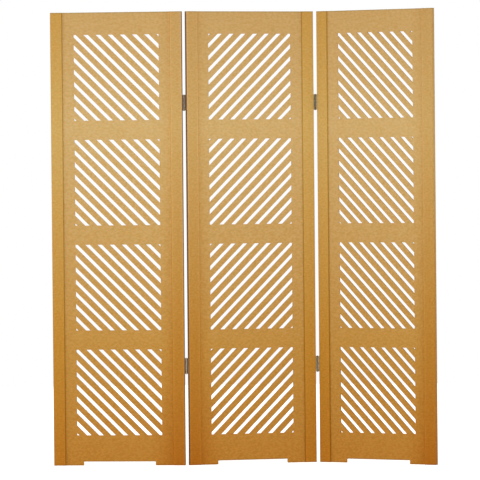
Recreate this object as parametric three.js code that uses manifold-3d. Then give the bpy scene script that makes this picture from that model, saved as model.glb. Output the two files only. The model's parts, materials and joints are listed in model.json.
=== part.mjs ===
// A folding screen of three slotted panels that stand in a zigzag on two joints of butt hinges.
// Millimetres, +Z up, the front towards -Y. The origin is on the floor, under the middle of the screen.
// Each panel is built in a frame of its own: x across it, y through it from front to back, z up.

import * as THREE from 'three';
import { mergeVertices } from 'three/addons/utils/BufferGeometryUtils.js';
import Module from 'manifold-3d';

const wasm = await Module();
wasm.setup();

// Panel
const PANEL_HEIGHT = 1740;
const PANEL_WIDTH = 508;

// Stiles, the two upright bars of a panel
const STILE_WIDTH = 45;
const STILE_THICKNESS = 22;
const STILE_EDGE_RADIUS = 2.2;

// Board, one sheet that fills the panel between the stiles
const BOARD_THICKNESS = 6;
const TONGUE_DEPTH = 10;
const JOINERY_GAP = 0.3;

// Slots, cut through the board in square fields
const SLOT_WIDTH = 12.5;
const SLOT_PITCH = 47;
const TOP_MARGIN = 86;
const BOTTOM_MARGIN = 116;
const LEAST_SIDE_MARGIN = 35;
const LEAST_BAND = 60;

// Feet, left at the panel's corners by a shallow notch in its lower edge
const FOOT_WIDTH = 115;
const NOTCH_HEIGHT = 15;

// Butt hinges
const HINGE_HEIGHT = 60;
const UPPER_HINGE_DROP = 350;
const LOWER_HINGE_RISE = 380;
const LEAF_WIDTH = 18;
const LEAF_THICKNESS = 1.8;
const LEAF_CORNER = 2.5;
const BARREL_DIAMETER = 8;
const BARREL_STAND_OFF = 0.3;
const KNUCKLES = 5;
const KNUCKLE_GAP = 0.4;
const SEAT_GAP = 0.3;

// Hinge pins
const PIN_DIAMETER = 4;
const PIN_HEAD_DIAMETER = 6;
const PIN_HEAD_HEIGHT = 1.2;
const PIN_HEAD_RIM = 0.4;
const PIN_HEAD_CROWN = 0.2;
const RUNNING_GAP = 0.3;

// Countersunk wood screws
const SCREWS_PER_LEAF = 3;
const SCREW_SPACING = 20;
const SCREW_LENGTH = 20;
const SCREW_DIAMETER = 3.2;
const SCREW_HEAD_DIAMETER = 6.2;
const SCREW_HEAD_RIM = 0.2;
const SCREW_POINT = 4;
const SCREW_GAP = 0.3;

// How far each panel is turned from the line of the screen, in degrees
const LEFT_TURN = -6;
const MIDDLE_TURN = 16;
const RIGHT_TURN = -31;

// Facets of the round pieces
const BARREL_FACETS = 20;
const BORE_FACETS = 16;
const SCREW_FACETS = 12;
const CORNER_FACETS = 2;

// Colours and finishes
const STILE_FINISH = { color: '#cb9f5c', roughness: 0.62, metalness: 0 };
const BOARD_FINISH = { color: '#cda568', roughness: 0.68, metalness: 0 };
const LEAF_FINISH = { color: '#6a675e', roughness: 0.38, metalness: 0.9 };
const PIN_FINISH = { color: '#86837a', roughness: 0.3, metalness: 0.95 };
const SCREW_FINISH = { color: '#9a978c', roughness: 0.34, metalness: 0.95 };

// What follows from the sizes above
const BARREL_RADIUS = BARREL_DIAMETER / 2;
const AXIS_OUT = BARREL_RADIUS + SEAT_GAP;
const AXIS_PROUD = BARREL_RADIUS + BARREL_STAND_OFF;
const BOARD_SIDE = STILE_WIDTH - TONGUE_DEPTH;
const LEFT = -1;
const RIGHT = 1;
const FRONT = -1;
const BACK = 1;

// Solid and geometry

function solidOf(geometry) {
  const surface = new THREE.BufferGeometry();
  surface.setAttribute('position', geometry.getAttribute('position'));
  surface.setIndex(geometry.index);
  const merged = mergeVertices(surface);
  return new wasm.Manifold(new wasm.Mesh({
    numProp: 3,
    vertProperties: merged.getAttribute('position').array,
    triVerts: new Uint32Array(merged.index.array),
  }));
}

function geometryOf(solid) {
  const { vertProperties, triVerts } = solid.getMesh();
  const indexed = new THREE.BufferGeometry();
  indexed.setAttribute('position', new THREE.BufferAttribute(vertProperties, 3));
  indexed.setIndex(new THREE.BufferAttribute(triVerts, 1));
  const faceted = indexed.toNonIndexed();
  faceted.computeVertexNormals();
  return faceted;
}

// An outline drawn across the panel and up, given a thickness centred on y = 0.
function uprightSheet(shape, thickness) {
  const sheet = new THREE.ExtrudeGeometry(shape, { depth: thickness, bevelEnabled: false });
  sheet.translate(0, 0, -thickness / 2);
  sheet.rotateX(Math.PI / 2);
  return sheet;
}

// A round bar about the z axis, between two heights.
function uprightBar(radius, low, high, facets) {
  const bar = new THREE.CylinderGeometry(radius, radius, high - low, facets);
  bar.rotateX(Math.PI / 2);
  bar.translate(0, 0, (low + high) / 2);
  return bar;
}

// Board

// How many whole steps fit, with at least one.
function wholeSteps(room, step) {
  return Math.max(1, Math.floor(room / step));
}

// The slotted squares of a board: their side, how many slots each way, and the top left corners.
function squareField() {
  const clearWidth = PANEL_WIDTH - 2 * STILE_WIDTH;
  const steps = wholeSteps(clearWidth - 2 * LEAST_SIDE_MARGIN, SLOT_PITCH);
  const side = steps * SLOT_PITCH;
  const clearHeight = PANEL_HEIGHT - TOP_MARGIN - BOTTOM_MARGIN;
  const rows = wholeSteps(clearHeight + LEAST_BAND, side + LEAST_BAND);
  const band = rows > 1 ? (clearHeight - rows * side) / (rows - 1) : 0;
  const corners = [];
  for (let row = 0; row < rows; row += 1) {
    corners.push(new THREE.Vector2(-side / 2, PANEL_HEIGHT - TOP_MARGIN - row * (side + band)));
  }
  return { side, steps, corners };
}

// The part of a 45 degree slot that lies in a square, from its top left corner, x right and y down.
// The slot's centre line starts this far along the square's upper edge, or down its left edge if less than 0.
function slotInSquare(along, side) {
  const reach = SLOT_WIDTH / Math.SQRT2;
  const low = Math.max(-side, along - reach);
  const high = Math.min(side, along + reach);
  const start = (edge) => new THREE.Vector2(Math.max(edge, 0), Math.max(-edge, 0));
  const end = (edge) => new THREE.Vector2(Math.min(side, side + edge), Math.min(side, side - edge));
  const outline = [start(low)];
  const crossesCorners = low < 0 && high > 0;
  if (crossesCorners) {
    outline.push(new THREE.Vector2(0, 0));
  }
  outline.push(start(high));
  if (high < side) {
    outline.push(end(high));
  }
  if (crossesCorners) {
    outline.push(new THREE.Vector2(side, side));
  }
  if (low > -side) {
    outline.push(end(low));
  }
  return outline;
}

// Every slot of a board. Slots fall to the right, or to the left where the lean is -1.
function slotOutlines(lean) {
  const { side, steps, corners } = squareField();
  const outlines = [];
  for (const corner of corners) {
    for (let step = -steps; step <= steps; step += 1) {
      const points = slotInSquare(step * SLOT_PITCH, side);
      outlines.push(new THREE.Shape(
        points.map((point) => new THREE.Vector2(lean * (corner.x + point.x), corner.y - point.y)),
      ));
    }
  }
  return outlines;
}

function boardGeometry(lean) {
  const half = PANEL_WIDTH / 2 - BOARD_SIDE;
  const notch = PANEL_WIDTH / 2 - FOOT_WIDTH;
  const outline = new THREE.Shape();
  outline.moveTo(-half, 0);
  outline.lineTo(-notch, 0);
  outline.lineTo(-notch, NOTCH_HEIGHT);
  outline.lineTo(notch, NOTCH_HEIGHT);
  outline.lineTo(notch, 0);
  outline.lineTo(half, 0);
  outline.lineTo(half, PANEL_HEIGHT);
  outline.lineTo(-half, PANEL_HEIGHT);
  outline.closePath();
  let solid = solidOf(uprightSheet(outline, BOARD_THICKNESS));
  for (const slot of slotOutlines(lean)) {
    solid = solid.subtract(solidOf(uprightSheet(slot, 2 * BOARD_THICKNESS)));
  }
  return geometryOf(solid);
}

// Stiles

// A stile's section at the panel's left edge: outer face at x = 0, the groove in its inner face.
function stileSection() {
  const half = STILE_THICKNESS / 2;
  const groove = BOARD_THICKNESS / 2 + JOINERY_GAP;
  const grooveFloor = BOARD_SIDE - JOINERY_GAP;
  const round = STILE_EDGE_RADIUS;
  const quarter = Math.PI / 2;
  const section = new THREE.Shape();
  section.absarc(round, round - half, round, 2 * quarter, 3 * quarter);
  section.absarc(STILE_WIDTH - round, round - half, round, 3 * quarter, 4 * quarter);
  section.lineTo(STILE_WIDTH, -groove);
  section.lineTo(grooveFloor, -groove);
  section.lineTo(grooveFloor, groove);
  section.lineTo(STILE_WIDTH, groove);
  section.absarc(STILE_WIDTH - round, half - round, round, 0, quarter);
  section.absarc(round, half - round, round, quarter, 2 * quarter);
  section.closePath();
  return section;
}

// Heights of the two hinges' middles.
const HINGE_LEVELS = { upper: PANEL_HEIGHT - UPPER_HINGE_DROP, lower: LOWER_HINGE_RISE };

// Where the screws of a leaf sit: across the leaf from the barrel's axis, and up from its middle.
function screwSpots() {
  const across = AXIS_PROUD + LEAF_WIDTH / 2;
  const spots = [];
  for (let screw = 0; screw < SCREWS_PER_LEAF; screw += 1) {
    spots.push({ across, up: (screw - (SCREWS_PER_LEAF - 1) / 2) * SCREW_SPACING });
  }
  return spots;
}

// The pilot holes of one stile, bored from its outer face at x = 0. The hinge side is FRONT or BACK.
function pilotHoles(hingeSide) {
  const depth = SCREW_LENGTH - LEAF_THICKNESS + SCREW_GAP;
  const holes = [];
  for (const level of Object.values(HINGE_LEVELS)) {
    for (const { across, up } of screwSpots()) {
      const hole = uprightBar(SCREW_DIAMETER / 2 + SCREW_GAP, -depth, depth, SCREW_FACETS);
      hole.rotateY(Math.PI / 2);
      hole.translate(0, hingeSide * (STILE_THICKNESS / 2 + AXIS_PROUD - across), level + up);
      holes.push(hole);
    }
  }
  return holes;
}

// A stile for the panel's left edge, with pilot holes where it carries hinges.
function stileGeometry(hingeSide) {
  const bar = new THREE.ExtrudeGeometry(stileSection(), {
    depth: PANEL_HEIGHT,
    bevelEnabled: false,
    curveSegments: CORNER_FACETS,
  });
  let solid = solidOf(bar);
  if (hingeSide) {
    for (const hole of pilotHoles(hingeSide)) {
      solid = solid.subtract(solidOf(hole));
    }
  }
  return geometryOf(solid);
}

// Hinges: a leaf's frame has the pin's axis as z, and the leaf runs from it towards -y, its seat at -x.

const KNUCKLE_LENGTH = (HINGE_HEIGHT - (KNUCKLES - 1) * KNUCKLE_GAP) / KNUCKLES;

// The lowest point of each knuckle, from the bottom one up.
function knuckleFeet() {
  const feet = [];
  for (let knuckle = 0; knuckle < KNUCKLES; knuckle += 1) {
    feet.push(-HINGE_HEIGHT / 2 + knuckle * (KNUCKLE_LENGTH + KNUCKLE_GAP));
  }
  return feet;
}

// A leaf's flat plate: its inner edge reaches the barrel at its own knuckles and clears the others.
function leafPlate(firstKnuckle) {
  const far = AXIS_PROUD + LEAF_WIDTH;
  const clear = BARREL_RADIUS + RUNNING_GAP;
  const top = HINGE_HEIGHT / 2;
  const outline = new THREE.Shape();
  outline.moveTo(far - LEAF_CORNER, top);
  outline.absarc(far - LEAF_CORNER, top - LEAF_CORNER, LEAF_CORNER, Math.PI / 2, 0, true);
  outline.absarc(far - LEAF_CORNER, LEAF_CORNER - top, LEAF_CORNER, 0, -Math.PI / 2, true);
  knuckleFeet().forEach((foot, knuckle) => {
    const own = knuckle % 2 === firstKnuckle;
    const reach = own ? 0 : KNUCKLE_GAP;
    const edge = own ? 0 : clear;
    outline.lineTo(edge, Math.max(-top, foot - reach));
    outline.lineTo(edge, Math.min(top, foot + KNUCKLE_LENGTH + reach));
  });
  outline.closePath();
  const plate = new THREE.ExtrudeGeometry(outline, {
    depth: LEAF_THICKNESS,
    bevelEnabled: false,
    curveSegments: CORNER_FACETS,
  });
  plate.rotateY(Math.PI / 2);
  plate.rotateX(-Math.PI / 2);
  plate.translate(-BARREL_RADIUS, 0, 0);
  return plate;
}

// A screw's outline, from its flat head at y = 0 down to its point, grown all round by a gap.
function screwProfile(length, gap) {
  const head = SCREW_HEAD_DIAMETER / 2 + gap;
  const shank = SCREW_DIAMETER / 2 + gap;
  const shoulder = -SCREW_HEAD_RIM - (head - shank);
  return [
    new THREE.Vector2(0, gap),
    new THREE.Vector2(head, gap),
    new THREE.Vector2(head, -SCREW_HEAD_RIM),
    new THREE.Vector2(shank, shoulder),
    new THREE.Vector2(shank, -length + SCREW_POINT),
    new THREE.Vector2(0, -length),
  ];
}

// A screw that points along -x, its head flush with the leaf's face.
function screwGeometry(gap) {
  const screw = new THREE.LatheGeometry(screwProfile(SCREW_LENGTH, gap).reverse(), SCREW_FACETS);
  screw.rotateZ(-Math.PI / 2);
  screw.translate(-BARREL_RADIUS + LEAF_THICKNESS, 0, 0);
  return screw;
}

// A leaf with every second knuckle, from the first or from the second one up.
function leafGeometry(firstKnuckle) {
  let solid = solidOf(leafPlate(firstKnuckle));
  knuckleFeet().forEach((foot, knuckle) => {
    if (knuckle % 2 === firstKnuckle) {
      const ring = uprightBar(BARREL_RADIUS, foot, foot + KNUCKLE_LENGTH, BARREL_FACETS);
      solid = solid.add(solidOf(ring));
    }
  });
  const bore = uprightBar(PIN_DIAMETER / 2 + RUNNING_GAP, -HINGE_HEIGHT, HINGE_HEIGHT, BORE_FACETS);
  solid = solid.subtract(solidOf(bore));
  for (const { across, up } of screwSpots()) {
    const countersink = screwGeometry(SCREW_GAP);
    countersink.translate(0, -across, up);
    solid = solid.subtract(solidOf(countersink));
  }
  return geometryOf(solid);
}

// A pin with a low domed head at each end: a straight rim, a slope up to the crown, and the crown.
function pinGeometry() {
  const shank = PIN_DIAMETER / 2;
  const head = PIN_HEAD_DIAMETER / 2;
  const seat = HINGE_HEIGHT / 2 + RUNNING_GAP;
  const upperHalf = [
    new THREE.Vector2(shank, seat),
    new THREE.Vector2(head, seat),
    new THREE.Vector2(head, seat + PIN_HEAD_RIM),
    new THREE.Vector2(shank, seat + PIN_HEAD_HEIGHT - PIN_HEAD_CROWN),
    new THREE.Vector2(0, seat + PIN_HEAD_HEIGHT),
  ];
  const lowerHalf = upperHalf.map((point) => new THREE.Vector2(point.x, -point.y)).reverse();
  const pin = new THREE.LatheGeometry([...lowerHalf, ...upperHalf], BORE_FACETS);
  pin.rotateX(Math.PI / 2);
  return pin;
}

// Assembly

function addPiece(holder, name, geometry, finish) {
  const piece = new THREE.Mesh(geometry, new THREE.MeshStandardMaterial(finish));
  piece.name = name;
  holder.add(piece);
  return piece;
}

// Where a hinge pin's axis stands in a panel's frame, at one edge and on one face.
function axisSpot(edge, face) {
  return new THREE.Vector2(
    edge * (PANEL_WIDTH / 2 + AXIS_OUT),
    face * (STILE_THICKNESS / 2 + AXIS_PROUD),
  );
}

// One half of both hinges at a panel's edge: a leaf and its screws, in the leaf's frame turned to suit.
function addLeaves(panel, joint, side, edge, face, firstKnuckle) {
  const spot = axisSpot(edge, face);
  for (const [level, height] of Object.entries(HINGE_LEVELS)) {
    const hinge = new THREE.Group();
    hinge.position.set(spot.x, spot.y, height);
    hinge.rotation.x = face === FRONT ? Math.PI : 0;
    hinge.rotation.y = edge === LEFT ? Math.PI : 0;
    panel.add(hinge);
    const name = `${joint}_joint_${level}_${side}_leaf`;
    addPiece(hinge, name, leafGeometry(firstKnuckle), LEAF_FINISH);
    screwSpots().forEach(({ across, up }, screw) => {
      const piece = addPiece(hinge, `${name}_screw_${screw + 1}`, screwGeometry(0), SCREW_FINISH);
      piece.position.set(0, -across, up);
    });
  }
}

function addPins(panel, joint, edge, face) {
  const spot = axisSpot(edge, face);
  for (const [level, height] of Object.entries(HINGE_LEVELS)) {
    const pin = addPiece(panel, `${joint}_joint_${level}_pin`, pinGeometry(), PIN_FINISH);
    pin.position.set(spot.x, spot.y, height);
  }
}

// A panel's board and two stiles. The left or right stile carries hinges on the side it is given.
function panelFrame(name, lean, leftHinges, rightHinges) {
  const panel = new THREE.Group();
  addPiece(panel, `${name}_panel_slotted_board`, boardGeometry(lean), BOARD_FINISH);
  const left = addPiece(panel, `${name}_panel_left_stile`, stileGeometry(leftHinges), STILE_FINISH);
  left.position.x = -PANEL_WIDTH / 2;
  const right = addPiece(panel, `${name}_panel_right_stile`, stileGeometry(-rightHinges), STILE_FINISH);
  right.position.x = PANEL_WIDTH / 2;
  right.rotation.z = Math.PI;
  return panel;
}

// Turns a panel, and moves it so that a spot in its frame meets a spot in the screen's frame.
function standPanel(panel, turn, ownSpot, sharedSpot) {
  const angle = THREE.MathUtils.degToRad(turn);
  const swung = ownSpot.clone().rotateAround(new THREE.Vector2(0, 0), angle);
  panel.rotation.z = angle;
  panel.position.set(sharedSpot.x - swung.x, sharedSpot.y - swung.y, 0);
}

// A spot of a standing panel in the screen's frame.
function spotOnScreen(panel, spot) {
  return spot.clone().rotateAround(new THREE.Vector2(0, 0), panel.rotation.z).add(panel.position);
}

// The left joint's pins stand behind the panels and the right joint's in front, so the screen folds in a Z.
const leftPanel = panelFrame('left', 1, 0, BACK);
const middlePanel = panelFrame('middle', -1, BACK, FRONT);
const rightPanel = panelFrame('right', 1, FRONT, 0);

addLeaves(leftPanel, 'left', 'outer', RIGHT, BACK, 1);
addLeaves(middlePanel, 'left', 'middle', LEFT, BACK, 0);
addPins(middlePanel, 'left', LEFT, BACK);
addLeaves(middlePanel, 'right', 'middle', RIGHT, FRONT, 0);
addPins(middlePanel, 'right', RIGHT, FRONT);
addLeaves(rightPanel, 'right', 'outer', LEFT, FRONT, 1);

const centre = new THREE.Vector2(0, 0);
standPanel(middlePanel, MIDDLE_TURN, centre, centre);
standPanel(leftPanel, LEFT_TURN, axisSpot(RIGHT, BACK), spotOnScreen(middlePanel, axisSpot(LEFT, BACK)));
standPanel(rightPanel, RIGHT_TURN, axisSpot(LEFT, FRONT), spotOnScreen(middlePanel, axisSpot(RIGHT, FRONT)));

const standing = new THREE.Group();
standing.add(leftPanel, middlePanel, rightPanel);
const middleOfScreen = new THREE.Box3().setFromObject(standing, true).getCenter(new THREE.Vector3());
standing.position.set(-middleOfScreen.x, -middleOfScreen.y, 0);

const screen = new THREE.Group();
screen.add(standing);

export default screen;
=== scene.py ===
"""A slotted folding screen, dressed for its photograph: its shapes, its finishes and its stage.

Lengths are in metres and z is up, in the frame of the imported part. A panel's own frame has x across
it, y through it from the front to the back, and z up from the floor.
"""

import json
import math

import bmesh
import bpy
from mathutils import Matrix, Vector


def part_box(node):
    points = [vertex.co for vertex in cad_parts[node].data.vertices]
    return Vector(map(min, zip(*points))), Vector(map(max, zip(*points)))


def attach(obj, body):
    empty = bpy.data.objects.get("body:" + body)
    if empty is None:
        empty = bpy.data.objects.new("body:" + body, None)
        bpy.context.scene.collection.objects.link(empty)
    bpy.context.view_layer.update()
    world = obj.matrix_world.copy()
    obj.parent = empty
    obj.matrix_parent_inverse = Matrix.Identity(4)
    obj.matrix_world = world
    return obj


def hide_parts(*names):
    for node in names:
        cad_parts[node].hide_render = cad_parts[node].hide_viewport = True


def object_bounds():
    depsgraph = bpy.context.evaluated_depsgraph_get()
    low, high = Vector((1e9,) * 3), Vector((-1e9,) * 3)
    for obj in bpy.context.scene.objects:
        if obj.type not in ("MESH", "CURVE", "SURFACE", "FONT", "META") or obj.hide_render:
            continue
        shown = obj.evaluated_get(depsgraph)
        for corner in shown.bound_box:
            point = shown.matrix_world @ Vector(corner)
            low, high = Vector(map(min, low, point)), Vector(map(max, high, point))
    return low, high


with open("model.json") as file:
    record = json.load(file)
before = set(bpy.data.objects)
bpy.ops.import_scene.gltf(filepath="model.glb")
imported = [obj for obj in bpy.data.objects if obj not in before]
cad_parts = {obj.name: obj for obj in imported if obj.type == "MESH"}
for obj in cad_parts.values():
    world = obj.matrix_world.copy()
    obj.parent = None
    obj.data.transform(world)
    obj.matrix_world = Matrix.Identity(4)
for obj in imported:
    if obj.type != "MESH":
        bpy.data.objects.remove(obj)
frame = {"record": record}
cad_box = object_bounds()

MM = 0.001

# Panels: how far each is turned, which way its slots fall, and the side where painted shade darkens
# the seam
PANEL_TURNS = {"left": math.radians(-6), "middle": math.radians(16), "right": math.radians(-31)}
SLOT_LEANS = {"left": 1, "middle": -1, "right": 1}
LINED_SIDES = {"left": "left", "middle": "right", "right": "left"}
PANEL_HEIGHT = cad_box[1].z
PANEL_WIDTH = 508 * MM

# Stiles
STILE_WIDTH = 45 * MM
SIGHT_HALF = PANEL_WIDTH / 2 - STILE_WIDTH
STILE_THICKNESS = 22 * MM
STILE_EDGE_RADIUS = 2.2 * MM
STILE_EDGE_STEPS = 5
GROOVE_DEPTH = 10.3 * MM
GROOVE_WIDTH = 6.6 * MM
GROOVE_MOUTH = 0.4 * MM
END_ARRIS = 0.3 * MM

# Boards
BOARD_THICKNESS = 6 * MM
BOARD_ARRIS = 0.6 * MM
TONGUE_DEPTH = 10 * MM
SLOT_WIDTH = 12.5 * MM
SLOT_PITCH = 47 * MM
SLOTS_EACH_WAY = 7
SQUARES = 4
TOP_MARGIN = 86 * MM
BOTTOM_MARGIN = 116 * MM
SLOT_CORNER = 0.9 * MM
FOOT_WIDTH = 115 * MM
NOTCH_HEIGHT = 15 * MM
NOTCH_HALF = PANEL_WIDTH / 2 - FOOT_WIDTH
NOTCH_CORNER = 2 * MM
CORNER_STEPS = 4

# Hinges
HINGE_HEIGHT = 60 * MM
KNUCKLES = 5
KNUCKLE_GAP = 0.4 * MM
BARREL_RADIUS = 4 * MM
BARREL_STAND_OFF = 0.3 * MM
PIN_STAND_OFF = BARREL_RADIUS + BARREL_STAND_OFF
RUNNING_GAP = 0.3 * MM
LEAF_WIDTH = 18 * MM
LEAF_REACH = PIN_STAND_OFF + LEAF_WIDTH
LEAF_THICKNESS = 1.8 * MM
LEAF_CORNER = 2.5 * MM
LEAF_CORNER_STEPS = 6
LEAF_ARRIS = 0.2 * MM
LEAF_ARRIS_STEPS = 2
LEAF_ARRIS_ANGLE = math.radians(50)
ROLL_ANGLE = math.radians(295)
ROLL_STEPS = 26
PIN_RADIUS = 2 * MM
PIN_HEAD_RADIUS = 3 * MM
PIN_HEAD_HEIGHT = 1.2 * MM
PIN_HEAD_RIM = 0.4 * MM
PIN_DOME_STEPS = 6

# Screws, whose crosses are turned on from one screw to the next
SCREW_SPACING = 20 * MM
SCREW_LENGTH = 20 * MM
SCREW_RADIUS = 1.6 * MM
SCREW_HEAD_RADIUS = 3.1 * MM
SCREW_HEAD_RIM = 0.2 * MM
SCREW_POINT = 4 * MM
SCREW_GAP = 0.3 * MM
CROSS_LENGTH = 3.4 * MM
CROSS_WIDTH = 0.8 * MM
CROSS_DEPTH = 1.2 * MM
CROSS_TAPER = 0.3
CROSS_TURN = 1.1
UPPER_CROSS_TURN = 0.6

# Round shapes, and the limits that tell a shape's faces, edges and corners apart
ROUND_STEPS = 32
SQUARE_ON = 0.99
OUTER_EDGE = 0.7
SMOOTH_ANGLE = math.radians(35)
NEARBY = 1 * MM
SAME_SPOT = 0.001 * MM

# Which of its piece's finishes a face has, where it isn't the first
BOARD_WALLS = 1
STILE_ENDS = 1
STILE_OUTER_EDGE = 2
LEAF_KNUCKLES = 1

# The camera, set well back in front of the screen
CAMERA_BACK = 18.0
CAMERA_HEIGHT = 1.098
CAMERA_TURN = math.radians(0.039)
CAMERA_DOWN = math.radians(0.7517)
CAMERA_ROLL = math.radians(-0.52)
CAMERA_SIGHT = 200.0
FOCAL_LENGTH = 352.04

# The stage. A sun stands so many degrees to the right of the front, so high up, and spread so wide
FLOOR_RADIUS = 7.0
FLOOR_STEPS = 96
FLOOR_TONE = (0.8, 0.8, 0.8, 1)
FLOOR_GLOW = 0.7
DOME_RADIUS = 60.0
DOME_FINENESS = 4
FILL_LIGHT = 0.36
SUNS = {
    "key_light": {"side": -8, "height": 38, "spread": 70, "strength": 0.9},
    "top_light": {"side": 0, "height": 85, "spread": 90, "strength": 0.85},
}


def tone(red, green, blue):
    """A colour as seen on a screen, from 0 to 255, in the linear values that a shader takes."""
    shares = [value / 255 for value in (red, green, blue)]
    linear = [((s + 0.055) / 1.055) ** 2.4 if s > 0.04045 else s / 12.92 for s in shares]
    return (*linear, 1.0)


# The stained tone with painted light over it, deeper and more orange towards the floor as painted
# shade
# and paler higher up as a painted sheen: its tone at the floor, and the tone that it runs to between
# one height and the next
KNEE_HEIGHT = 0.45
SHOULDER_HEIGHT = 1.3
FOOT_STAIN_AND_SHADE = tone(173, 117, 39)
STAIN_AND_LIGHT_STEPS = (
    (0.0, KNEE_HEIGHT, tone(185, 136, 61)),
    (KNEE_HEIGHT, SHOULDER_HEIGHT, tone(208, 172, 111)),
    (SHOULDER_HEIGHT, PANEL_HEIGHT, tone(203, 162, 100)),
)

# Tints, which a colour is multiplied by, and how wide the bands are where they show
WHITE = (1, 1, 1, 1)
BLACK = (0, 0, 0, 1)
# Painted shade: a darker line along the foot and along the top
END_SHADE_TINT = (0.62, 0.68, 0.6, 1)
END_SHADE_BAND = 5 * MM
# Painted shade along the seam between board and stile on a panel's lined side
SEAM_SHADE_TINT = (0.88, 0.88, 0.66, 1)
SEAM_ON_BOARD = 3 * MM
SEAM_ON_STILE = 1 * MM
SEAM_FADE = 0.5 * MM
# A painted highlight along the outer edge of a stile whose outer edge has painted shade
HIGHLIGHT_TINT = (1.12, 1.12, 1.4, 1)
HIGHLIGHT_BAND = 6 * MM
HIGHLIGHT_FADE = 3 * MM
# Painted light where board and stile meet on the plain side, which cancels the shade of the step
LIFT_TINT = (1.17, 1.17, 1.17, 1)
LIFT_ON_BOARD = 9 * MM
LIFT_ON_STILE = 6 * MM

# The painted shade, darker and redder, towards a panel's plain side: its tints at the floor and at
# the top, how far it reaches onto the board and the stile, and the power of height by which it fades
RED_SHADE_TINTS = ((0.84, 0.6, 0.05, 1), (0.965, 0.93, 0.85, 1))
RED_ON_BOARD = 48 * MM
FOOT_RED_ON_BOARD = 90 * MM
RED_ON_STILE = 16 * MM
RED_FADE = 0.5

# The yellow of a lined stile: its tints at the height where it is weakest, and that far from there
YELLOW_TINTS = ((0.985, 0.935, 0.71, 1), (0.96, 0.835, 0.385, 1))
YELLOW_WEAKEST = 1.2

# Mottling: its two pairs of tints, and how far from its middle the noise has a blotch's full tint,
# at the floor and at shoulder height
BLOTCH_TINTS = ((0.93, 0.9, 0.75, 1), (1.07, 1.1, 1.25, 1))
BLOTCH_SPREADS = (0.13, 0.22)
HUE_TINTS = ((1.02, 0.985, 0.94, 1), (0.98, 1.015, 1.06, 1))
NOISE_MIDDLE = 0.5
NOISE_SPAN = (0.3, 0.7)

# The cut edges of the boards
CUT_TINTS = ((0.95, 0.92, 0.86, 1), (0.78, 0.68, 0.52, 1))

# The outer edges of the stiles at the left joint, darkened with painted shade: a tone low down and
# one high up
SHADED_EDGES = {
    ("left", "right"): (tone(140, 94, 48), tone(110, 72, 34)),
    ("middle", "left"): (tone(114, 74, 32), tone(144, 108, 68)),
}
SHADED_EDGE_SPAN = (0.2, 1.3)
SHADED_EDGE_TINTS = ((0.85, 0.84, 0.8, 1), (1.15, 1.16, 1.2, 1))

# The sawn ends: the tones between which the rings run, and the pores over them
RING_TONES = (tone(170, 116, 54), tone(186, 134, 70))
RING_SPAN = (0.35, 0.65)
PORE_TONE = tone(120, 78, 38)
PORE_SPAN = (0.5, 0.7)
PORE_SHARE = 0.5

# Steels: the dull tone and the worn one, the roughness, and how metallic it is
STEELS = {
    "left_plate_steel": (tone(150, 116, 82), tone(164, 132, 98), 0.42, 0.3),
    # The right joint's plates are painted pale: a painted highlight of their faces catching the light
    "right_plate_steel": (tone(222, 208, 176), tone(236, 224, 196), 0.42, 0.3),
    # The left joint's knuckles are painted pale: a painted highlight along the barrel, lighter than
    # the right joint's
    "left_knuckle_steel": (tone(205, 198, 182), tone(236, 230, 216), 0.3, 0.92),
    "right_knuckle_steel": (tone(110, 104, 88), tone(136, 130, 112), 0.3, 0.92),
    "pin_steel": (tone(130, 126, 116), tone(150, 146, 136), 0.24, 0.92),
    "screw_steel": (tone(150, 146, 134), tone(168, 164, 152), 0.26, 0.92),
}
SMEAR_SPAN = (0.35, 0.7)
STEEL_SWING = 0.18
STEEL_RELIEF = 0.01 * MM

# Surfaces of wood: the roughness, how much the grain adds to it, and how deep the relief is
WOOD_GLOSS = 0.12
BOARD_SURFACE = (0.5, 0.16, 0.04 * MM)
STILE_SURFACE = (0.46, 0.16, 0.04 * MM)
SHADED_EDGE_SURFACE = (0.5, 0.16, 0.04 * MM)
CUT_SURFACE = (0.62, 0.14, 0.08 * MM)
END_SURFACE = (0.6, 0.2, 0.1 * MM)
STREAK_SHARE = 0.5

# Grains: noise that changes over so many millimetres along x, y and z
BLOTCHES = {"size": (10, 10, 6), "detail": 2}
HUES = {"size": (14, 14, 10), "detail": 1}
BOARD_FIBRES = {"size": (2.4, 2.4, 2.4), "detail": 3}
STILE_FIBRES = {"size": (2.2, 2.2, 5), "detail": 3}
STILE_STREAKS = {"size": (6, 8, 70), "detail": 3, "roughness": 0.6, "distortion": 0.2}
SHADED_EDGE_FIBRES = {"size": (2, 2, 12), "detail": 3}
CUT_FIBRES = {"size": (0.8, 2.5, 0.8), "detail": 3}
END_RINGS = {"size": (9, 2.2, 9), "detail": 3}
END_PORES = {"size": (0.5, 0.5, 0.5), "detail": 2}
STEEL_SMEARS = {"size": (2, 2, 6), "detail": 3}
STEEL_BRUSHING = {"size": (0.2, 0.2, 4), "detail": 2}


# The frame


def panel_place(panel):
    """Where a panel stands: its own frame's place in the part's frame."""
    low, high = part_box(f"{panel}_panel_slotted_board")
    centre = (Vector(low) + Vector(high)) / 2
    spot = Matrix.Translation((centre.x, centre.y, 0))
    return spot @ Matrix.Rotation(PANEL_TURNS[panel], 4, "Z")


bodies = {
    node: body for body, nodes in frame["record"]["behaviour"]["bodies"].items() for node in nodes
}


# Finishes


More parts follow.
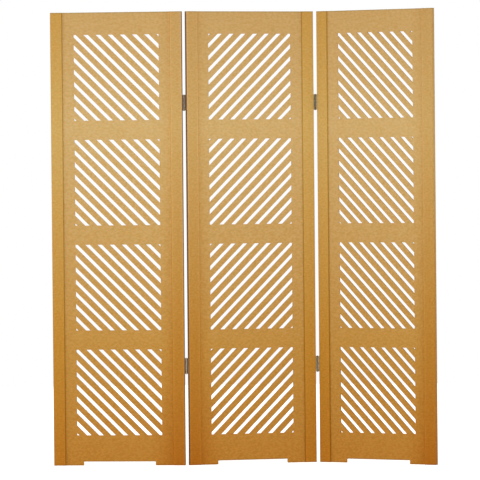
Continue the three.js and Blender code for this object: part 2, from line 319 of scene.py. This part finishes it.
class Wire:
    """A number on its way through a finish; arithmetic on it adds Math nodes."""

    def __init__(self, finish, socket):
        self.finish = finish
        self.socket = socket

    def __add__(self, other):
        return self.finish.math("ADD", self, other)

    def __radd__(self, other):
        return self.finish.math("ADD", other, self)

    def __sub__(self, other):
        return self.finish.math("SUBTRACT", self, other)

    def __rsub__(self, other):
        return self.finish.math("SUBTRACT", other, self)

    def __mul__(self, other):
        return self.finish.math("MULTIPLY", self, other)

    def __rmul__(self, other):
        return self.finish.math("MULTIPLY", other, self)

    def __pow__(self, other):
        return self.finish.math("POWER", self, other)

    def __rpow__(self, other):
        return self.finish.math("POWER", other, self)

    def __abs__(self):
        return self.finish.math("ABSOLUTE", self, 0)


class Finish:
    """A material of nodes. Its shader's fixed values are set on its own sockets."""

    def __init__(self, name, **fixed):
        self.material = bpy.data.materials.new(name)
        self.material.use_nodes = True
        self.tree = self.material.node_tree
        self.tree.nodes.clear()
        self.shader = self.tree.nodes.new("ShaderNodeBsdfPrincipled")
        output = self.tree.nodes.new("ShaderNodeOutputMaterial")
        self.tree.links.new(self.shader.outputs["BSDF"], output.inputs["Surface"])
        for socket, value in fixed.items():
            self.shader.inputs[socket.replace("_", " ")].default_value = value

    def feed(self, socket, value):
        """Links a wire to a socket, or sets a plain value there."""
        if isinstance(value, Wire):
            self.tree.links.new(value.socket, socket)
        else:
            socket.default_value = value

    def node(self, kind, settings=None, inputs=None, output=0):
        """Any other node: its settings first, then its sockets' values or wires, and one output."""
        made = self.tree.nodes.new(kind)
        for key, value in (settings or {}).items():
            setattr(made, key, value)
        for key, value in (inputs or {}).items():
            self.feed(made.inputs[key], value)
        return Wire(self, made.outputs[output])

    def math(self, operation, first, second):
        return self.node("ShaderNodeMath", {"operation": operation}, {0: first, 1: second})

    def mix(self, share, first, second, blend="MIX"):
        """A colour between two, or one of them where the share is 0 or 1."""
        settings = {"data_type": "RGBA", "clamp_factor": True, "blend_type": blend}
        return self.node("ShaderNodeMix", settings, {0: share, 6: first, 7: second}, output=2)

    def tinted(self, colour, share, first, second):
        """A colour times a tint that lies between two."""
        return self.mix(1.0, colour, self.mix(share, first, second), "MULTIPLY")

    def ramp(self, value, low, high, start=0.0, end=1.0):
        """A number that runs evenly from start to end as the value runs from low to high."""
        inputs = {"Value": value, "From Min": low, "From Max": high, "To Min": start, "To Max": end}
        return self.node("ShaderNodeMapRange", None, inputs)

    def coordinates(self, place, size):
        """A spot's coordinates from a place, in units as long as the size gives for each axis."""
        inputs = {
            "Vector": self.node("ShaderNodeTexCoord", output="Object"),
            "Location": place.translation,
            "Rotation": place.to_euler(),
            "Scale": size,
        }
        return self.node("ShaderNodeMapping", {"vector_type": "TEXTURE"}, inputs)

    def along(self, place, axis):
        """How far a spot lies from a place along one of its axes, in metres."""
        spot = self.coordinates(place, (1, 1, 1))
        return self.node("ShaderNodeSeparateXYZ", None, {"Vector": spot}, output=axis)

    def noise(self, place, size, detail, roughness=0.5, distortion=0.0):
        """A grain that lies along a place's axes."""
        inputs = {
            "Vector": self.coordinates(place, [length * MM for length in size]),
            "Scale": 1.0,
            "Detail": detail,
            "Roughness": roughness,
            "Distortion": distortion,
        }
        return self.node("ShaderNodeTexNoise", None, inputs)

    def stain_and_light(self, height):
        """The stained tone with painted light: deepest at the floor as painted shade, palest at
        shoulder height as a painted sheen.
        """
        colour = FOOT_STAIN_AND_SHADE
        for low, high, next_tone in STAIN_AND_LIGHT_STEPS:
            colour = self.mix(self.ramp(height, low, high), colour, next_tone)
        return colour

    def ends_shaded(self, colour, height, foot=0.0):
        """The colour with painted shade: a darker line along the foot, at its height, and along the
        top.
        """
        for end, inner in ((foot, foot + END_SHADE_BAND), (PANEL_HEIGHT, PANEL_HEIGHT - END_SHADE_BAND)):
            colour = self.tinted(colour, self.ramp(height, end, inner), END_SHADE_TINT, WHITE)
        return colour

    def mottled(self, colour, place, height):
        """The colour broken into small blotches, some darker and some a little redder, which stand
        out more nearer the floor, where the painted shade deepens the colour."""
        spread = self.ramp(height, 0, SHOULDER_HEIGHT, *BLOTCH_SPREADS)
        blotches = self.noise(place, **BLOTCHES)
        share = self.ramp(blotches, NOISE_MIDDLE - spread, NOISE_MIDDLE + spread)
        shaded = self.tinted(colour, share, *BLOTCH_TINTS)
        hues = self.ramp(self.noise(place, **HUES), *NOISE_SPAN)
        return self.tinted(shaded, hues, *HUE_TINTS)

    def paint(self, colour, surface, grain, relief=None):
        """The finished material. Its grain is also its relief where none is given."""
        roughness, swing, depth = surface
        self.feed(self.shader.inputs["Base Color"], colour)
        self.feed(self.shader.inputs["Roughness"], roughness + grain * swing)
        inputs = {"Height": relief or grain, "Strength": 1.0, "Distance": depth}
        self.feed(self.shader.inputs["Normal"], self.node("ShaderNodeBump", None, inputs))
        return self.material


def outward(finish, panel, side):
    """How far a spot lies from its panel's middle towards one side."""
    return finish.along(panel_place(panel), "X") * (-1 if side == "left" else 1)


def panel_stain_and_light(finish, panel):
    """The stained tone across a panel with its painted light: painted shade, darker and redder,
    towards its plain side, over a wider band near the floor, and painted light where board and stile
    meet there, which cancels the shade of the step."""
    plain_side = "right" if LINED_SIDES[panel] == "left" else "left"
    height = finish.along(panel_place(panel), "Z")
    out = outward(finish, panel, plain_side)
    band = finish.ramp(height, 0, KNEE_HEIGHT, FOOT_RED_ON_BOARD, RED_ON_BOARD)
    redder = finish.ramp(out, SIGHT_HALF - band, SIGHT_HALF + RED_ON_STILE)
    stain_and_light = finish.stain_and_light(height)
    fading = finish.ramp(height, 0, PANEL_HEIGHT) ** RED_FADE
    stain_and_light = finish.mix(redder, stain_and_light, finish.tinted(stain_and_light, fading, *RED_SHADE_TINTS))
    on_board = finish.ramp(out, SIGHT_HALF - LIFT_ON_BOARD, SIGHT_HALF)
    on_stile = finish.ramp(out, SIGHT_HALF + LIFT_ON_STILE, SIGHT_HALF)
    return finish.tinted(stain_and_light, on_board * on_stile, WHITE, LIFT_TINT)


def board_finish(panel):
    """A board's faces, with painted shade along the seam at the lined side."""
    finish = Finish(f"board_{panel}", Specular_IOR_Level=WOOD_GLOSS)
    place = panel_place(panel)
    height = finish.along(place, "Z")
    in_notch = finish.math("LESS_THAN", abs(finish.along(place, "X")), NOTCH_HALF)
    colour = finish.mottled(panel_stain_and_light(finish, panel), place, height)
    colour = finish.ends_shaded(colour, height, in_notch * NOTCH_HEIGHT)
    out = outward(finish, panel, LINED_SIDES[panel])
    seam = finish.ramp(out, SIGHT_HALF - SEAM_ON_BOARD, SIGHT_HALF)
    colour = finish.tinted(colour, seam, WHITE, SEAM_SHADE_TINT)
    return finish.paint(colour, BOARD_SURFACE, finish.noise(place, **BOARD_FIBRES))


def board_edge_finish(panel):
    """The cut edges of a board: the same stained tone with its painted light, a little deeper and
    rougher.
    """
    finish = Finish(f"board_edge_{panel}", Specular_IOR_Level=WOOD_GLOSS)
    place = panel_place(panel)
    fibres = finish.noise(place, **CUT_FIBRES)
    stain_and_light = finish.stain_and_light(finish.along(place, "Z"))
    colour = finish.tinted(stain_and_light, finish.ramp(fibres, *NOISE_SPAN), *CUT_TINTS)
    return finish.paint(colour, CUT_SURFACE, fibres)


def stile_finish(panel, side):
    """A stile's faces. The lined stile is yellower and has painted shade along its seam, and a stile
    whose outer edge has painted shade has a painted highlight beside it."""
    finish = Finish(f"stile_{panel}_{side}", Specular_IOR_Level=WOOD_GLOSS)
    place = panel_place(panel)
    lined = side == LINED_SIDES[panel]
    height = finish.along(place, "Z")
    out = outward(finish, panel, side)
    if lined:
        away = finish.ramp(abs(height - YELLOW_WEAKEST), 0, YELLOW_WEAKEST)
        stain_and_light = finish.tinted(finish.stain_and_light(height), away, *YELLOW_TINTS)
    else:
        stain_and_light = panel_stain_and_light(finish, panel)
    colour = finish.ends_shaded(finish.mottled(stain_and_light, place, height), height)
    if lined:
        edge = SIGHT_HALF + SEAM_ON_STILE
        seam = finish.ramp(out, edge + SEAM_FADE, edge)
        colour = finish.tinted(colour, seam, WHITE, SEAM_SHADE_TINT)
    if (panel, side) in SHADED_EDGES:
        start = PANEL_WIDTH / 2 - HIGHLIGHT_BAND
        highlight = finish.ramp(out, start, start + HIGHLIGHT_FADE)
        colour = finish.tinted(colour, highlight, WHITE, HIGHLIGHT_TINT)
    fibres = finish.noise(place, **STILE_FIBRES)
    streaks = finish.noise(place, **STILE_STREAKS)
    return finish.paint(colour, STILE_SURFACE, fibres, fibres + streaks * STREAK_SHARE)


def shaded_edge_finish(panel, side):
    """The outer edge of a stile at the left joint, darkened with painted shade."""
    finish = Finish(f"dark_edge_{panel}_{side}", Specular_IOR_Level=WOOD_GLOSS)
    whole = Matrix.Identity(4)
    fibres = finish.noise(whole, **SHADED_EDGE_FIBRES)
    high_up = finish.ramp(finish.along(whole, "Z"), *SHADED_EDGE_SPAN)
    body = finish.mix(high_up, *SHADED_EDGES[panel, side])
    colour = finish.tinted(body, finish.ramp(fibres, *NOISE_SPAN), *SHADED_EDGE_TINTS)
    return finish.paint(colour, SHADED_EDGE_SURFACE, fibres)


def end_grain_finish():
    """The sawn ends of the stiles: darker, with open pores."""
    finish = Finish("end_grain", Specular_IOR_Level=WOOD_GLOSS)
    whole = Matrix.Identity(4)
    rings = finish.ramp(finish.noise(whole, **END_RINGS), *RING_SPAN)
    pores = finish.noise(whole, **END_PORES)
    body = finish.mix(rings, *RING_TONES)
    colour = finish.mix(finish.ramp(pores, *PORE_SPAN, 0.0, PORE_SHARE), body, PORE_TONE)
    return finish.paint(colour, END_SURFACE, pores)


def steel_finish(name):
    """Steel with worn patches, brushed along the pins."""
    dull, worn, roughness, metallic = STEELS[name]
    finish = Finish(name, Metallic=metallic)
    whole = Matrix.Identity(4)
    smears = finish.noise(whole, **STEEL_SMEARS)
    colour = finish.mix(finish.ramp(smears, *SMEAR_SPAN), dull, worn)
    surface = (roughness, STEEL_SWING, STEEL_RELIEF)
    return finish.paint(colour, surface, smears, finish.noise(whole, **STEEL_BRUSHING))


boards = {panel: board_finish(panel) for panel in PANEL_TURNS}
board_edges = {panel: board_edge_finish(panel) for panel in PANEL_TURNS}
end_grain = end_grain_finish()
stiles = {
    (panel, side): stile_finish(panel, side) for panel in PANEL_TURNS for side in ("left", "right")
}
shaded_edges = {(panel, side): shaded_edge_finish(panel, side) for panel, side in SHADED_EDGES}
steels = {name: steel_finish(name) for name in STEELS}


# Shapes


def plate_walls(shape):
    """The faces of an upright plate that its outline and its holes cut."""
    return [face for face in shape.faces if abs(face.normal.y) < SQUARE_ON]


def upright_plate(outlines, holes, thickness):
    """A plate in the xz plane. An outline is its points and how far its corners are cut back when
    they are rounded, and a hole is a round one's centre and radius."""
    shape = bmesh.new()
    for points, cut_back in outlines:
        corners = [shape.verts.new((x, -thickness / 2, z)) for x, z in points]
        shape.faces.new(corners)
        bmesh.ops.bevel(
            shape,
            geom=corners,
            offset=cut_back,
            segments=CORNER_STEPS,
            profile=0.5,
            affect="VERTICES",
            material=-1,
        )
    bmesh.ops.delete(shape, geom=shape.faces[:], context="FACES_ONLY")
    for (x, z), radius in holes:
        place = Matrix.Translation((x, -thickness / 2, z)) @ Matrix.Rotation(math.pi / 2, 4, "X")
        bmesh.ops.create_circle(shape, radius=radius, segments=ROUND_STEPS, matrix=place)
    bmesh.ops.triangle_fill(shape, use_beauty=True, edges=shape.edges[:], normal=(0, -1, 0))
    grow(shape, (0, thickness, 0))
    return shape


def grow(shape, reach):
    """Makes a solid of a flat shape by drawing its faces out."""
    grown = bmesh.ops.extrude_face_region(shape, geom=shape.faces[:])
    far_side = [part for part in grown["geom"] if isinstance(part, bmesh.types.BMVert)]
    bmesh.ops.translate(shape, vec=reach, verts=far_side)
    bmesh.ops.recalc_face_normals(shape, faces=shape.faces[:])


def break_arris(shape, facing, width):
    """Cuts a narrow bevel along every edge of the flat side that faces one way."""
    shape.normal_update()
    flat = [face for face in shape.faces if face.normal.dot(facing) > SQUARE_ON]
    inset = bmesh.ops.inset_region(shape, faces=flat, thickness=width, use_even_offset=True)
    side = {*flat, *inset["faces"]}
    outer = {
        corner
        for face in inset["faces"]
        for corner in face.verts
        if any(neighbour not in side for neighbour in corner.link_faces)
    }
    bmesh.ops.translate(shape, vec=-width * facing, verts=list(outer))


def add_piece(name, shape, place, node, finishes):
    """Sets a finished shape in its place as a piece that stands for a node of the part."""
    bmesh.ops.transform(shape, matrix=place, verts=shape.verts[:])
    mesh = bpy.data.meshes.new(name)
    shape.to_mesh(mesh)
    shape.free()
    for finish in finishes:
        mesh.materials.append(finish)
    mesh.shade_smooth()
    mesh.set_sharp_from_angle(angle=SMOOTH_ANGLE)
    piece = bpy.data.objects.new(name, mesh)
    bpy.context.scene.collection.objects.link(piece)
    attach(piece, bodies[node])
    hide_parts(node)
    return piece


# Boards


def slot_in_square(along, side):
    """The outline of a 45 degree slot in a square, from its upper left corner, x right and z down.

    Its centre line starts this far along the square's upper edge, or, where that is less than 0,
    down its left edge."""
    reach = SLOT_WIDTH / math.sqrt(2)
    low = max(-side, along - reach)
    high = min(side, along + reach)

    def start(edge):
        return max(edge, 0), max(-edge, 0)

    def end(edge):
        return min(side, side + edge), min(side, side - edge)

    outline = [start(low)]
    crosses_corners = low < 0 < high
    if crosses_corners:
        outline.append((0, 0))
    outline.append(start(high))
    if high < side:
        outline.append(end(high))
    if crosses_corners:
        outline.append((side, side))
    if low > -side:
        outline.append(end(low))
    return outline


def slot_outlines(lean):
    """All the slots of a board: squares of them, one under another, that fall one way."""
    side = SLOTS_EACH_WAY * SLOT_PITCH
    step_down = (PANEL_HEIGHT - TOP_MARGIN - BOTTOM_MARGIN - side) / (SQUARES - 1)
    outlines = []
    for square in range(SQUARES):
        top = PANEL_HEIGHT - TOP_MARGIN - square * step_down
        for step in range(-SLOTS_EACH_WAY, SLOTS_EACH_WAY + 1):
            points = slot_in_square(step * SLOT_PITCH, side)
            outlines.append(([(lean * (x - side / 2), top - z) for x, z in points], SLOT_CORNER))
    return outlines


def board_outline():
    half = SIGHT_HALF + TONGUE_DEPTH
    points = [
        (-half, 0),
        (-NOTCH_HALF, 0),
        (-NOTCH_HALF, NOTCH_HEIGHT),
        (NOTCH_HALF, NOTCH_HEIGHT),
        (NOTCH_HALF, 0),
        (half, 0),
        (half, PANEL_HEIGHT),
        (-half, PANEL_HEIGHT),
    ]
    return points, NOTCH_CORNER


def add_board(panel):
    outlines = [board_outline(), *slot_outlines(SLOT_LEANS[panel])]
    shape = upright_plate(outlines, [], BOARD_THICKNESS)
    for wall in plate_walls(shape):
        wall.material_index = BOARD_WALLS
    for face in (-1, 1):
        break_arris(shape, Vector((0, face, 0)), BOARD_ARRIS)
    finishes = [boards[panel], board_edges[panel]]
    node = f"{panel}_panel_slotted_board"
    add_piece(f"{panel}_board", shape, panel_place(panel), node, finishes)


# Stiles


def stile_shape():
    """A stile for the panel's left edge: its outer face at x = 0, its groove on the other side."""
    half = STILE_THICKNESS / 2
    groove = GROOVE_WIDTH / 2
    bottom = STILE_WIDTH - GROOVE_DEPTH
    shape = bmesh.new()
    eased = [(0, -half), (STILE_WIDTH, -half), (STILE_WIDTH, half), (0, half)]
    mouth = [(STILE_WIDTH, -groove), (STILE_WIDTH, groove)]
    section = eased[:2] + [mouth[0], (bottom, -groove), (bottom, groove), mouth[1]] + eased[2:]
    corners = [shape.verts.new((x, y, 0)) for x, y in section]
    shape.faces.new(corners)
    for spots, radius in ((eased, STILE_EDGE_RADIUS), (mouth, GROOVE_MOUTH)):
        bmesh.ops.bevel(
            shape,
            geom=[corner for corner, spot in zip(corners, section) if spot in spots],
            offset=radius,
            segments=STILE_EDGE_STEPS,
            profile=0.5,
            affect="VERTICES",
            material=-1,
        )
    grow(shape, (0, 0, PANEL_HEIGHT))
    for face in shape.faces:
        if abs(face.normal.z) > SQUARE_ON:
            face.material_index = STILE_ENDS
        elif face.normal.x < -OUTER_EDGE:
            face.material_index = STILE_OUTER_EDGE
    for end in (-1, 1):
        break_arris(shape, Vector((0, 0, end)), END_ARRIS)
    return shape


def add_stile(panel, side):
    edge = -PANEL_WIDTH / 2 if side == "left" else PANEL_WIDTH / 2
    turn = 0 if side == "left" else math.pi
    place = panel_place(panel) @ Matrix.Translation((edge, 0, 0)) @ Matrix.Rotation(turn, 4, "Z")
    finish = stiles[panel, side]
    # At the left joint the outer edge takes painted shade
    finishes = [finish, end_grain, shaded_edges.get((panel, side), finish)]
    node = f"{panel}_panel_{side}_stile"
    add_piece(f"{panel}_{side}_stile", stile_shape(), place, node, finishes)


# Hinges. A leaf's own frame has the pin's axis as z. The leaf runs from there towards +x, and its
# back, which lies on the stile, faces -y


def knuckle_feet():
    """How long a knuckle is, and how high each one starts."""
    length = (HINGE_HEIGHT - (KNUCKLES - 1) * KNUCKLE_GAP) / KNUCKLES
    pitch = length + KNUCKLE_GAP
    return length, [-HINGE_HEIGHT / 2 + knuckle * pitch for knuckle in range(KNUCKLES)]


def leaf_outline(first_knuckle):
    """A leaf's outline, cut out where the other leaf's knuckles run. The first of its own knuckles,
    counted from 0 at the bottom, is followed by every second one."""
    top = HINGE_HEIGHT / 2
    length, feet = knuckle_feet()
    points = []
    for knuckle, foot in enumerate(feet):
        own = knuckle % 2 == first_knuckle
        edge = 0 if own else BARREL_RADIUS + RUNNING_GAP
        reach = 0 if own else KNUCKLE_GAP
        points.append((edge, max(-top, foot - reach)))
        points.append((edge, min(top, foot + length + reach)))
    return [*points, (LEAF_REACH, top), (LEAF_REACH, -top)]


def screw_spots():
    across = PIN_STAND_OFF + LEAF_WIDTH / 2
    return [(across, up * SCREW_SPACING) for up in (-1, 0, 1)]


def leaf_shape(first_knuckle):
    """A leaf with countersunk holes, its own knuckles rolled round from the edge of the plate."""
    wide = SCREW_HEAD_RADIUS + SCREW_GAP
    narrow = SCREW_RADIUS + SCREW_GAP
    holes = [(spot, wide) for spot in screw_spots()]
    shape = upright_plate([(leaf_outline(first_knuckle), 0)], holes, LEAF_THICKNESS)
    middle = LEAF_THICKNESS / 2 - BARREL_RADIUS
    bmesh.ops.translate(shape, vec=(0, middle, 0), verts=shape.verts[:])
    for x, z in screw_spots():
        ring = [
            corner
            for corner in shape.verts
            if corner.co.y < middle and math.hypot(corner.co.x - x, corner.co.z - z) < wide + NEARBY
        ]
        bmesh.ops.scale(
            shape,
            vec=(narrow / wide, 1, narrow / wide),
            space=Matrix.Translation((-x, 0, -z)),
            verts=ring,
        )
    upright = [
        edge
        for edge in shape.edges
        if all(corner.co.x > LEAF_REACH - NEARBY for corner in edge.verts)
        and abs(edge.verts[0].co.y - edge.verts[1].co.y) > NEARBY
    ]
    bmesh.ops.bevel(
        shape,
        geom=upright,
        offset=LEAF_CORNER,
        segments=LEAF_CORNER_STEPS,
        profile=0.5,
        affect="EDGES",
        material=-1,
    )
    shape.normal_update()
    rolled = [
        face
        for face in shape.faces
        if face.normal.x < -SQUARE_ON and face.calc_center_median().x < NEARBY
    ]
    for face in rolled:
        bmesh.ops.spin(
            shape,
            geom=[face, *face.edges, *face.verts],
            cent=(0, 0, 0),
            axis=(0, 0, -1),
            angle=ROLL_ANGLE,
            steps=ROLL_STEPS,
        )
    bmesh.ops.recalc_face_normals(shape, faces=shape.faces[:])
    for face in shape.faces:
        centre = face.calc_center_median()
        if math.hypot(centre.x, centre.y) < BARREL_RADIUS:
            face.material_index = LEAF_KNUCKLES
    return shape


def ease_edges(piece):
    eased = piece.modifiers.new("eased", "BEVEL")
    eased.width = LEAF_ARRIS
    eased.segments = LEAF_ARRIS_STEPS
    eased.limit_method = "ANGLE"
    eased.angle_limit = LEAF_ARRIS_ANGLE


def spun(profile):
    """A round solid about the z axis. Its profile's radii and heights start and end on the axis."""
    shape = bmesh.new()
    corners = [shape.verts.new((radius, 0, height)) for radius, height in profile]
    edges = [shape.edges.new(pair) for pair in zip(corners, corners[1:])]
    bmesh.ops.spin(
        shape,
        geom=corners + edges,
        cent=(0, 0, 0),
        axis=(0, 0, 1),
        angle=2 * math.pi,
        steps=ROUND_STEPS,
        use_merge=True,
    )
    bmesh.ops.remove_doubles(shape, verts=shape.verts[:], dist=SAME_SPOT)
    bmesh.ops.recalc_face_normals(shape, faces=shape.faces[:])
    return shape


def pin_shape():
    """A pin with a domed head at each end."""
    seat = HINGE_HEIGHT / 2 + RUNNING_GAP
    rim = seat + PIN_HEAD_RIM
    rise = PIN_HEAD_HEIGHT - PIN_HEAD_RIM
    turns = [math.pi / 2 * step / PIN_DOME_STEPS for step in range(PIN_DOME_STEPS)]
    dome = [(PIN_HEAD_RADIUS * math.cos(turn), rim + rise * math.sin(turn)) for turn in turns]
    upper = [(PIN_RADIUS, seat), (PIN_HEAD_RADIUS, seat), *dome, (0, rim + rise)]
    lower = [(radius, -height) for radius, height in reversed(upper)]
    return spun(lower + upper)


def screw_shape():
    """A countersunk screw with its flat head at z = 0 and its point down."""
    shoulder = -SCREW_HEAD_RIM - (SCREW_HEAD_RADIUS - SCREW_RADIUS)
    profile = [
        (0, -SCREW_LENGTH),
        (SCREW_RADIUS, -SCREW_LENGTH + SCREW_POINT),
        (SCREW_RADIUS, shoulder),
        (SCREW_HEAD_RADIUS, -SCREW_HEAD_RIM),
        (SCREW_HEAD_RADIUS, 0),
        (0, 0),
    ]
    return spun(profile)


def cross_cutters():
    """Two tapered blades that cut the cross in a screw's head."""
    blades = []
    for turn in (0, math.pi / 2):
        blade = bmesh.new()
        bmesh.ops.create_cube(blade, size=1)
        for corner in blade.verts:
            if corner.co.z < 0:
                corner.co.x *= CROSS_TAPER
        size = Matrix.Diagonal((CROSS_LENGTH, CROSS_WIDTH, 2 * CROSS_DEPTH, 1))
        matrix = Matrix.Rotation(turn, 4, "Z") @ size
        bmesh.ops.transform(blade, matrix=matrix, verts=blade.verts[:])
        blades.append(blade)
    return blades


def loose_object(name, shape):
    """An object made of a shape, which is used up."""
    mesh = bpy.data.meshes.new(name)
    shape.to_mesh(mesh)
    shape.free()
    made = bpy.data.objects.new(name, mesh)
    bpy.context.scene.collection.objects.link(made)
    return made


def cut_from(shape, cutters):
    """The shape with solids cut out of it, one after another; all of them are used up."""
    blank = loose_object("blank", shape)
    tools = [loose_object("tool", cutter) for cutter in cutters]
    for tool in tools:
        cut = blank.modifiers.new("cut", "BOOLEAN")
        cut.operation = "DIFFERENCE"
        cut.solver = "EXACT"
        cut.object = tool
    done = blank.evaluated_get(bpy.context.evaluated_depsgraph_get()).to_mesh()
    left = bmesh.new()
    left.from_mesh(done)
    for gone in (blank, *tools):
        bpy.data.objects.remove(gone)
    return left


def add_hinge_half(joint, side, edge, face):
    """One half of both hinges of a joint: a leaf, its screws and, on the middle panel, its pin.

    The edge is -1 for the panel's left and 1 for its right, and the face -1 for its front and 1
    for its back."""
    panel = "middle" if side == "middle" else joint
    first_knuckle = 0 if side == "middle" else 1
    across = edge * (PANEL_WIDTH / 2 + PIN_STAND_OFF)
    through = face * (STILE_THICKNESS / 2 + PIN_STAND_OFF)
    flip = Matrix.Identity(4)
    if face < 0:
        flip = Matrix.Rotation(math.pi, 4, "X")
    if edge < 0:
        flip = flip @ Matrix.Rotation(math.pi, 4, "Y")
    quarter = Matrix.Rotation(-math.pi / 2, 4, "Z")
    sunk = Matrix.Rotation(-math.pi / 2, 4, "X")
    for level in ("upper", "lower"):
        low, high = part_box(f"{joint}_joint_{level}_pin")
        spot = Matrix.Translation((across, through, (low[2] + high[2]) / 2))
        pin_place = panel_place(panel) @ spot
        place = pin_place @ flip @ quarter
        node = f"{joint}_joint_{level}_{side}_leaf"
        # The left joint's knuckles and the right joint's plates carry a painted highlight
        finishes = [steels[f"{joint}_plate_steel"], steels[f"{joint}_knuckle_steel"]]
        leaf = leaf_shape(first_knuckle)
        ease_edges(add_piece(f"{node}_rolled", leaf, place, node, finishes))
        for number, (out, up) in enumerate(screw_spots(), 1):
            head = Matrix.Translation((out, LEAF_THICKNESS - BARREL_RADIUS, up))
            turn = number * CROSS_TURN + (level == "upper") * UPPER_CROSS_TURN
            screw_place = place @ head @ sunk @ Matrix.Rotation(turn, 4, "Z")
            add_piece(
                f"{node}_cross_screw_{number}",
                screw_blank.copy(),
                screw_place,
                f"{node}_screw_{number}",
                [steels["screw_steel"]],
            )
        if side == "middle":
            add_piece(
                f"{joint}_joint_{level}_domed_pin",
                pin_shape(),
                pin_place,
                f"{joint}_joint_{level}_pin",
                [steels["pin_steel"]],
            )


for panel in PANEL_TURNS:
    add_board(panel)
    add_stile(panel, "left")
    add_stile(panel, "right")

screw_blank = cut_from(screw_shape(), cross_cutters())
add_hinge_half("left", "outer", 1, 1)
add_hinge_half("left", "middle", -1, 1)
add_hinge_half("right", "middle", 1, -1)
add_hinge_half("right", "outer", -1, -1)
screw_blank.free()


# Stage


def make_camera():
    data = bpy.data.cameras.new("camera")
    data.lens = FOCAL_LENGTH
    data.clip_end = CAMERA_SIGHT
    camera = bpy.data.objects.new("camera", data)
    bpy.context.scene.collection.objects.link(camera)
    turn = Matrix.Rotation(CAMERA_TURN, 4, "Z")
    down = Matrix.Rotation(math.pi / 2 - CAMERA_DOWN, 4, "X")
    roll = Matrix.Rotation(CAMERA_ROLL, 4, "Z")
    spot = Matrix.Translation((0, -CAMERA_BACK, CAMERA_HEIGHT))
    camera.matrix_world = spot @ (turn @ down) @ roll
    bpy.context.scene.camera = camera


def stage_piece(name, shape, finish):
    piece = loose_object(name, shape)
    piece.data.materials.append(finish.material)
    return piece


def make_floor():
    """A round pale floor that glows enough to run into the backdrop."""
    finish = Finish(
        "pale_floor",
        Base_Color=FLOOR_TONE,
        Roughness=1.0,
        Specular_IOR_Level=0.0,
        Emission_Color=WHITE,
        Emission_Strength=FLOOR_GLOW,
    )
    shape = bmesh.new()
    bmesh.ops.create_circle(shape, cap_ends=True, radius=FLOOR_RADIUS, segments=FLOOR_STEPS)
    stage_piece("floor", shape, finish)


def make_backdrop():
    """A white dome all round, which the camera sees but which lights nothing."""
    finish = Finish(
        "white_backdrop",
        Base_Color=BLACK,
        Specular_IOR_Level=0.0,
        Emission_Color=WHITE,
        Emission_Strength=1.0,
    )
    shape = bmesh.new()
    bmesh.ops.create_icosphere(shape, subdivisions=DOME_FINENESS, radius=DOME_RADIUS)
    dome = stage_piece("backdrop", shape, finish)
    dome.visible_diffuse = False
    dome.visible_glossy = False
    dome.visible_shadow = False


def make_world():
    world = bpy.data.worlds.new("studio")
    world.use_nodes = True
    sky = world.node_tree.nodes["Background"]
    sky.inputs["Color"].default_value = WHITE
    sky.inputs["Strength"].default_value = FILL_LIGHT
    bpy.context.scene.world = world


def make_sun(name, side, height, spread, strength):
    data = bpy.data.lights.new(name, "SUN")
    data.energy = strength
    data.angle = math.radians(spread)
    light = bpy.data.objects.new(name, data)
    light.rotation_euler = (math.radians(90 - height), 0, math.radians(side))
    bpy.context.scene.collection.objects.link(light)


bpy.context.scene.view_settings.view_transform = "Standard"
make_camera()
make_floor()
make_backdrop()
make_world()
for name, sun in SUNS.items():
    make_sun(name, **sun)
